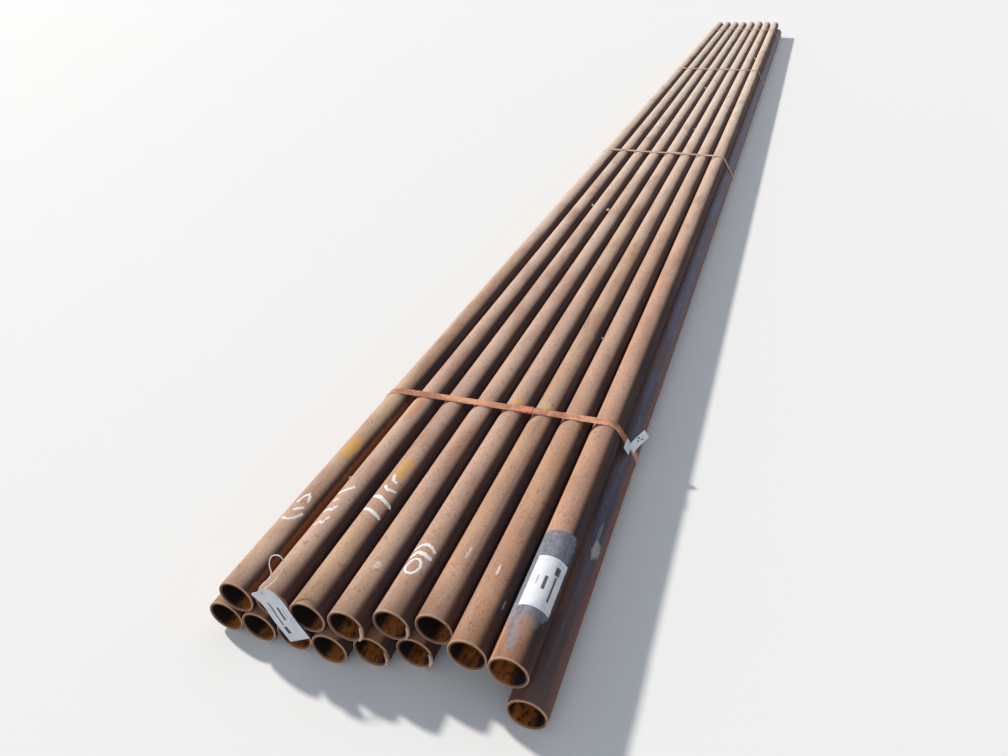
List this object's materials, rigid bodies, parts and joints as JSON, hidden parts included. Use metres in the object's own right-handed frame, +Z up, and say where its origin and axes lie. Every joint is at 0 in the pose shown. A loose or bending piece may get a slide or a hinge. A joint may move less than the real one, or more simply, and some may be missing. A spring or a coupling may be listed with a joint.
{
  "type": "pipe bundle",
  "caption": "Strapped bundle of long plain-end steel pipes, stacked in staggered rows and bound with flat steel straps, with a paper tag on a wire",
  "frame": {"origin": "bottom centre of the bundle, on the floor that the straps lie on", "axes": "+Y along the pipes, the tagged ends at -Y, +Z up, +X across the bundle"},
  "size_m": [0.5636, 6.53, 0.1592],
  "materials": {
    "pipe_steel": "matte",
    "strap_steel": "matte",
    "seal_steel": "matte",
    "label_paper": "matte",
    "wire_coat": "matte"
  },
  "bodies": {
    "root": {"pipe_bottom_1": "pipe_steel", "pipe_bottom_2": "pipe_steel", "pipe_bottom_3": "pipe_steel", "pipe_bottom_4": "pipe_steel", "pipe_bottom_5": "pipe_steel", "pipe_bottom_6": "pipe_steel", "pipe_bottom_7": "pipe_steel", "pipe_bottom_8": "pipe_steel", "pipe_bottom_9": "pipe_steel", "pipe_top_1": "pipe_steel", "pipe_top_2": "pipe_steel", "pipe_top_3": "pipe_steel", "pipe_top_4": "pipe_steel", "pipe_top_5": "pipe_steel", "pipe_top_6": "pipe_steel", "pipe_top_7": "pipe_steel", "pipe_top_8": "pipe_steel", "strap_1": "strap_steel", "strap_2": "strap_steel", "strap_3": "strap_steel", "strap_4": "strap_steel", "strap_seal_1": "seal_steel", "strap_seal_2": "seal_steel", "strap_seal_3": "seal_steel", "strap_seal_4": "seal_steel", "pipe_sticker": "label_paper", "tag": "label_paper", "strap_flag": "label_paper", "tag_wire": "wire_coat"}
  },
  "joints": []
}
